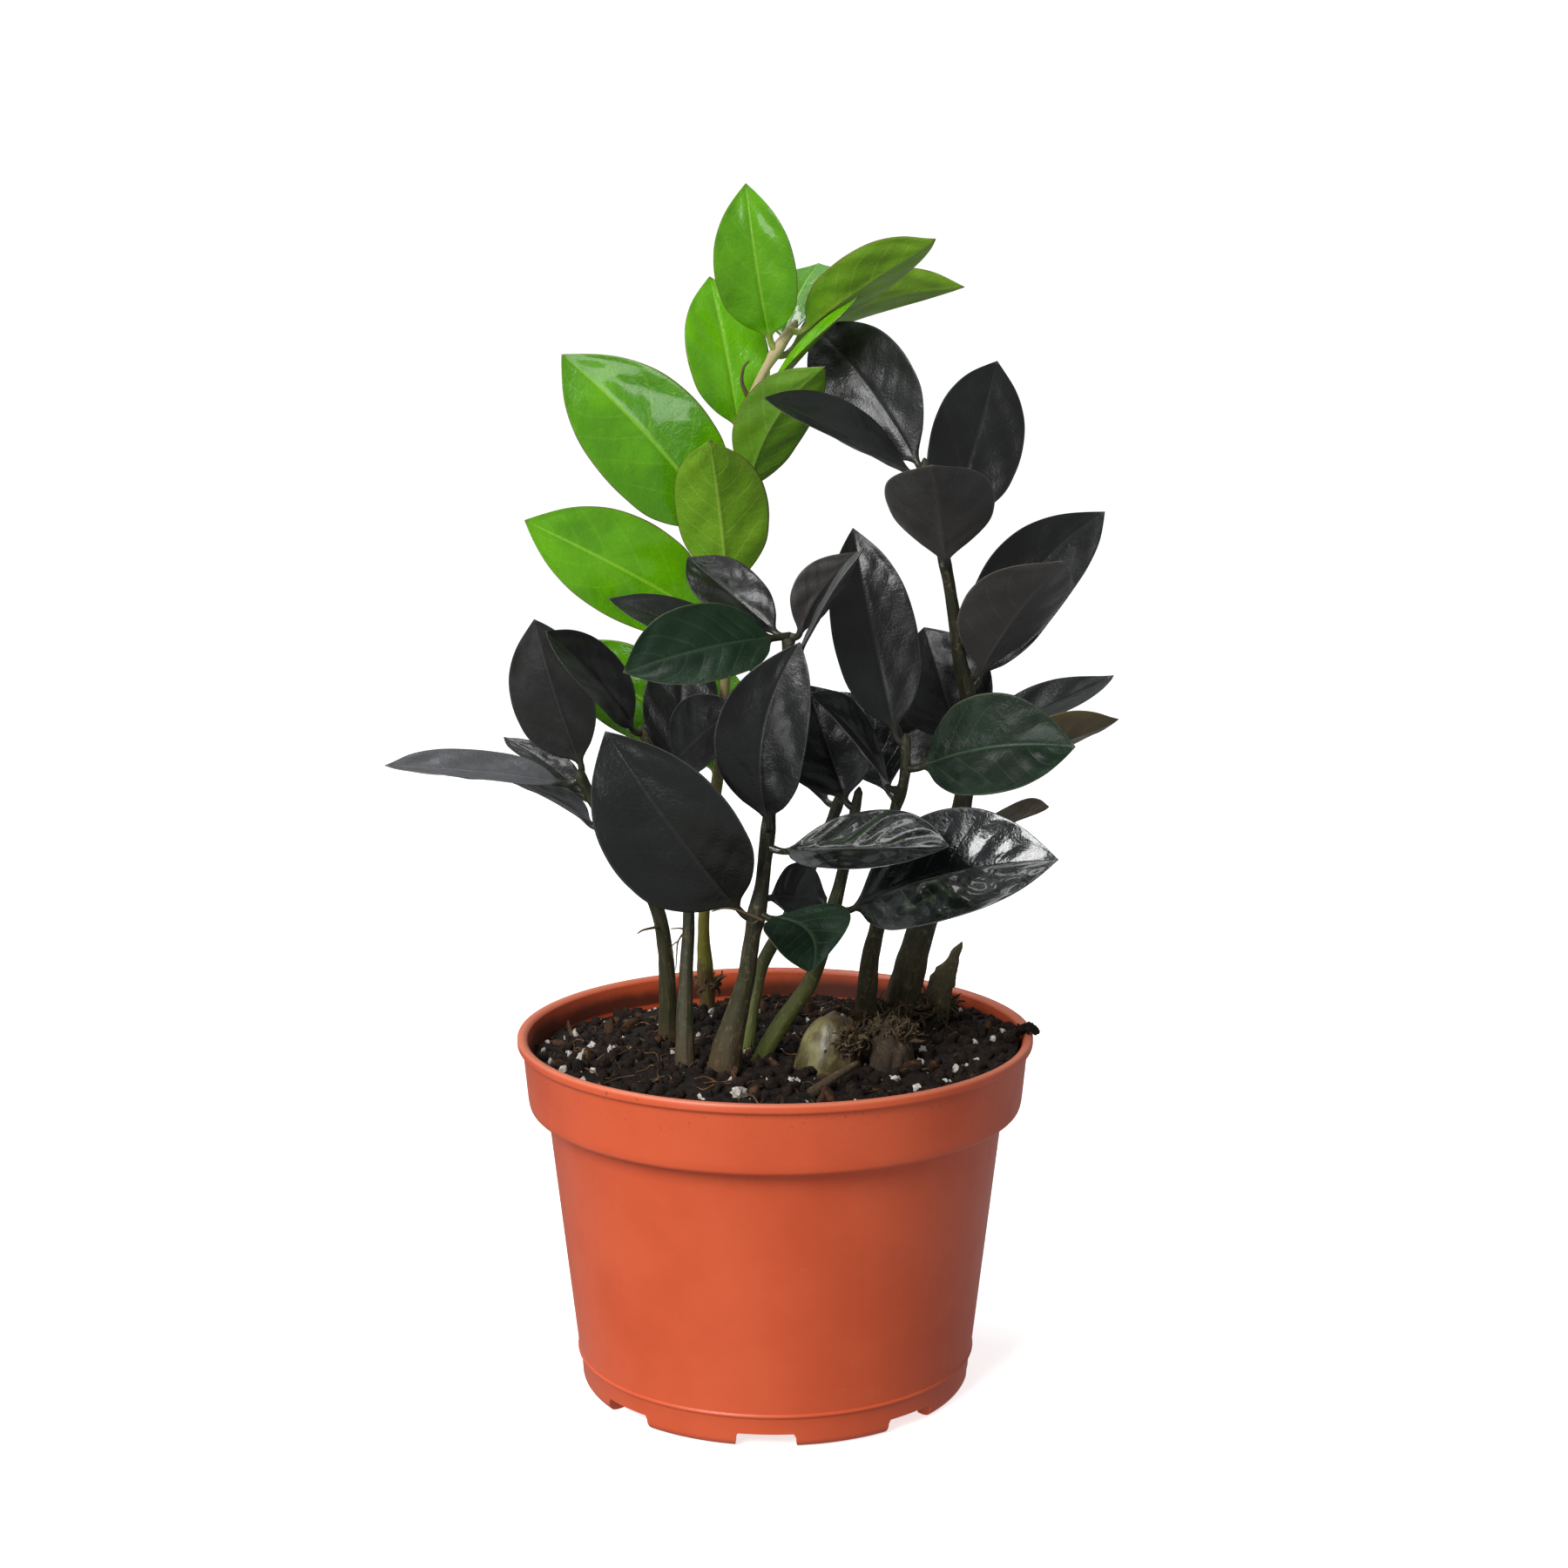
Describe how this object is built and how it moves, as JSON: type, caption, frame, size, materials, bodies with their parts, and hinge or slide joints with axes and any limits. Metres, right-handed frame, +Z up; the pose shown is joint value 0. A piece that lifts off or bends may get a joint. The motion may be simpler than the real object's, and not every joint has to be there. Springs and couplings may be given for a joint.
{
  "type": "potted zz plant",
  "caption": "Houseplant with glossy near-black leaflets on arching stems and one young green shoot, in potting mix in a round plastic nursery pot.",
  "frame": {"origin": "centre of the pot's foot circle, on the surface that the pot stands on", "axes": "+Z up along the pot's axis; -Y towards the plant's showing side; +X to the right as seen from that side"},
  "size_m": [0.212, 0.152, 0.35],
  "materials": {
    "pot": "matte injection-moulded plastic, terracotta orange",
    "soil": "loose dark brown peat-based potting mix with white perlite and bark",
    "tuber": "smooth pale brown tuber skin with a dry papery husk",
    "husk": "dry brown fibrous stem tissue",
    "leaf_dark": "waxy near-black green, strongly glossy above and matte beneath",
    "leaf_olive": "waxy dark olive brown",
    "leaf_green": "waxy bright young green",
    "stem_dark": "smooth dark olive green, browner at the base",
    "stem_green": "smooth olive green turning pinkish tan at the top"
  },
  "bodies": {
    "root": {"pot": "pot", "soil": "soil", "tuber": "tuber", "old_stem_base": "husk", "dry_stub": "husk", "stem_green": "stem_green", "leaf_green_1": "leaf_green", "leaf_green_2": "leaf_green", "leaf_green_3": "leaf_green", "leaf_green_4": "leaf_green", "leaf_green_5": "leaf_green", "leaf_green_6": "leaf_green", "leaf_green_7": "leaf_green", "leaf_green_8": "leaf_green", "leaf_green_9": "leaf_green", "leaf_green_10": "leaf_green", "leaf_green_11": "leaf_green", "leaf_green_12": "leaf_green", "stem_left": "stem_dark", "leaf_left_1": "leaf_dark", "leaf_left_2": "leaf_dark", "leaf_left_3": "leaf_dark", "leaf_left_4": "leaf_dark", "stem_centre_left": "stem_dark", "leaf_centre_left_1": "leaf_dark", "leaf_centre_left_2": "leaf_dark", "leaf_centre_left_3": "leaf_dark", "stem_front": "stem_dark", "leaf_front_1": "leaf_dark", "leaf_front_2": "leaf_dark", "leaf_front_3": "leaf_dark", "leaf_front_4": "leaf_dark", "leaf_front_5": "leaf_dark", "leaf_front_6": "leaf_dark", "leaf_front_7": "leaf_dark", "leaf_front_8": "leaf_dark", "leaf_front_9": "leaf_dark", "leaf_front_10": "leaf_dark", "stem_back": "stem_dark", "leaf_back_1": "leaf_dark", "leaf_back_2": "leaf_dark", "stem_low": "stem_dark", "leaf_low_1": "leaf_dark", "leaf_low_2": "leaf_dark", "stem_middle": "stem_dark", "leaf_middle_1": "leaf_dark", "leaf_middle_2": "leaf_dark", "leaf_middle_3": "leaf_dark", "leaf_middle_4": "leaf_dark", "stem_tall": "stem_dark", "leaf_tall_1": "leaf_dark", "leaf_tall_2": "leaf_dark", "leaf_tall_3": "leaf_dark", "leaf_tall_4": "leaf_dark", "leaf_tall_5": "leaf_dark", "leaf_tall_6": "leaf_dark", "leaf_tall_7": "leaf_dark", "leaf_tall_8": "leaf_dark", "leaf_tall_9": "leaf_olive", "leaf_tall_10": "leaf_olive"}
  },
  "joints": []
}
